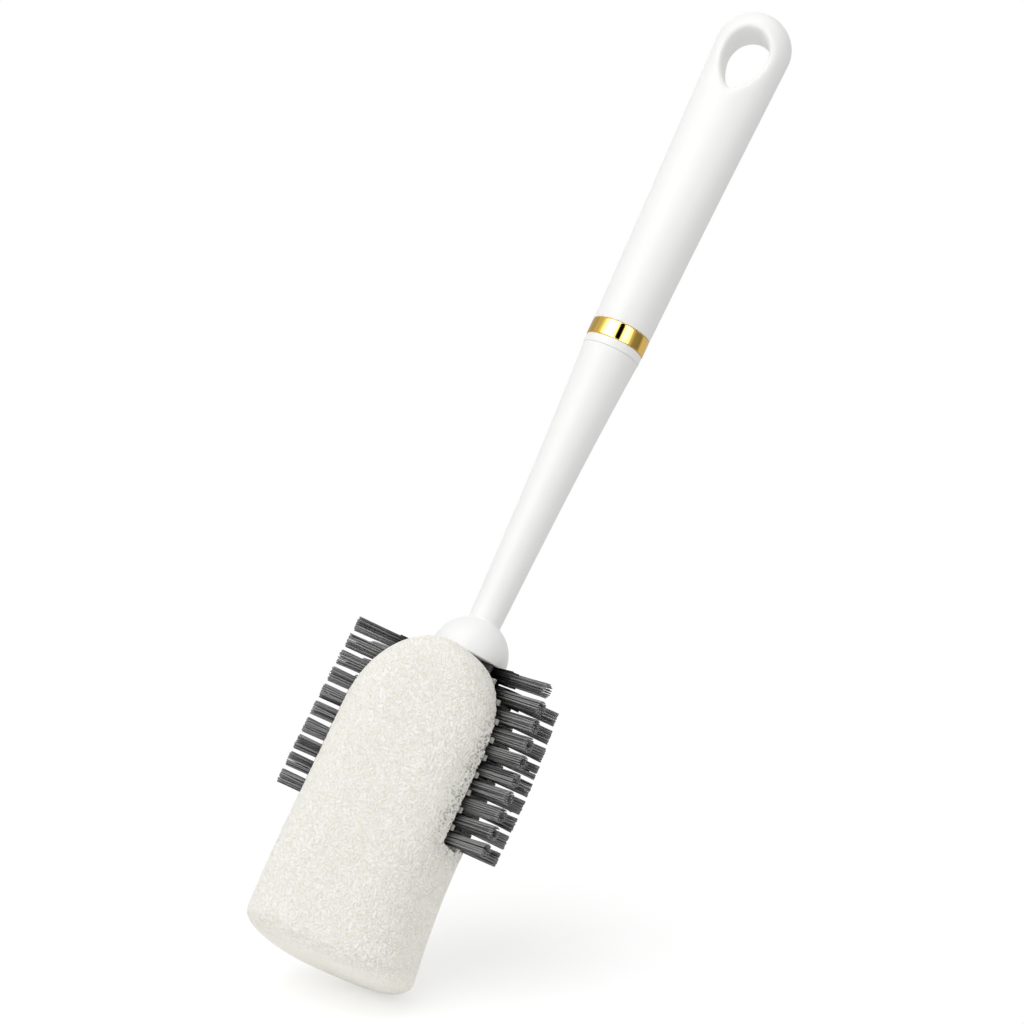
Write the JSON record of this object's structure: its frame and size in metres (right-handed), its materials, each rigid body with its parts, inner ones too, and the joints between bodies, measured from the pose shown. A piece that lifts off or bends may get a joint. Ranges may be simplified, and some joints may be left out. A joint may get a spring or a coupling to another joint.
{
  "type": "bottle cleaning brush",
  "caption": "Long-handled bottle cleaning brush: slotted sponge head, nylon bristle rows along its sides, domed collar, tapered neck, metal ring and grip with a hanging hole.",
  "frame": {"origin": "middle of the sponge's flat end, on which the brush stands", "axes": "+Z along the handle towards the hanging loop, bristles towards +X and -X, front face -Y, hanging hole along Y but for 5 degrees that the screwed grip stops short of it"},
  "size_m": [0.0705, 0.042, 0.3304],
  "materials": {
    "white_plastic": "satin-gloss moulded, white",
    "core_plastic": "moulded, white",
    "comb_plastic": "moulded, pale grey",
    "strip_plastic": "moulded, dark grey",
    "nylon_bristle": "nylon filament, dark grey",
    "gold_plate": "polished gold plate",
    "pin_steel": "plain",
    "sponge": "open-cell foam, cream white"
  },
  "bodies": {
    "shaft": {"neck_shaft": "white_plastic", "dome_collar": "white_plastic", "core_spine": "core_plastic", "core_pin": "pin_steel", "bristle_rail_right": "strip_plastic", "bristle_rail_left": "strip_plastic", "comb_right_front": "comb_plastic", "comb_right_rear": "comb_plastic", "comb_left_front": "comb_plastic", "comb_left_rear": "comb_plastic", "tuft_right_front_01": "nylon_bristle", "tuft_right_front_02": "nylon_bristle", "tuft_right_front_03": "nylon_bristle", "tuft_right_front_04": "nylon_bristle", "tuft_right_front_05": "nylon_bristle", "tuft_right_front_06": "nylon_bristle", "tuft_right_front_07": "nylon_bristle", "tuft_right_front_08": "nylon_bristle", "tuft_right_front_09": "nylon_bristle", "tuft_right_front_10": "nylon_bristle", "tuft_right_rear_01": "nylon_bristle", "tuft_right_rear_02": "nylon_bristle", "tuft_right_rear_03": "nylon_bristle", "tuft_right_rear_04": "nylon_bristle", "tuft_right_rear_05": "nylon_bristle", "tuft_right_rear_06": "nylon_bristle", "tuft_right_rear_07": "nylon_bristle", "tuft_right_rear_08": "nylon_bristle", "tuft_right_rear_09": "nylon_bristle", "tuft_left_front_01": "nylon_bristle", "tuft_left_front_02": "nylon_bristle", "tuft_left_front_03": "nylon_bristle", "tuft_left_front_04": "nylon_bristle", "tuft_left_front_05": "nylon_bristle", "tuft_left_front_06": "nylon_bristle", "tuft_left_front_07": "nylon_bristle", "tuft_left_front_08": "nylon_bristle", "tuft_left_front_09": "nylon_bristle", "tuft_left_front_10": "nylon_bristle", "tuft_left_rear_01": "nylon_bristle", "tuft_left_rear_02": "nylon_bristle", "tuft_left_rear_03": "nylon_bristle", "tuft_left_rear_04": "nylon_bristle", "tuft_left_rear_05": "nylon_bristle", "tuft_left_rear_06": "nylon_bristle", "tuft_left_rear_07": "nylon_bristle", "tuft_left_rear_08": "nylon_bristle", "tuft_left_rear_09": "nylon_bristle"},
    "ring": {"gold_ring": "gold_plate"},
    "handle": {"grip_front_shell": "white_plastic", "grip_rear_shell": "white_plastic", "grip_insert": "core_plastic", "ring_seat": "white_plastic"},
    "sponge": {"sponge_head": "sponge"}
  },
  "joints": [
    {"name": "sponge_pull_off", "type": "slide", "parent": "shaft", "child": "sponge", "axis": [0, 0, -1], "range_m": [0, 0.065]},
    {"name": "ring_lift", "type": "slide", "parent": "shaft", "child": "ring", "axis": [0, 0, 1], "range_m": [0, 0.012]},
    {"name": "handle_unscrew", "type": "hinge", "parent": "ring", "child": "handle", "pos_m": [0, 0, 0.20893], "axis": [0, 0, 1], "range_deg": [0, 1440]}
  ],
  "couplings": [
    {"joint": "ring_lift", "follows": "handle_unscrew", "m_per_rad": 0.00047746}
  ]
}
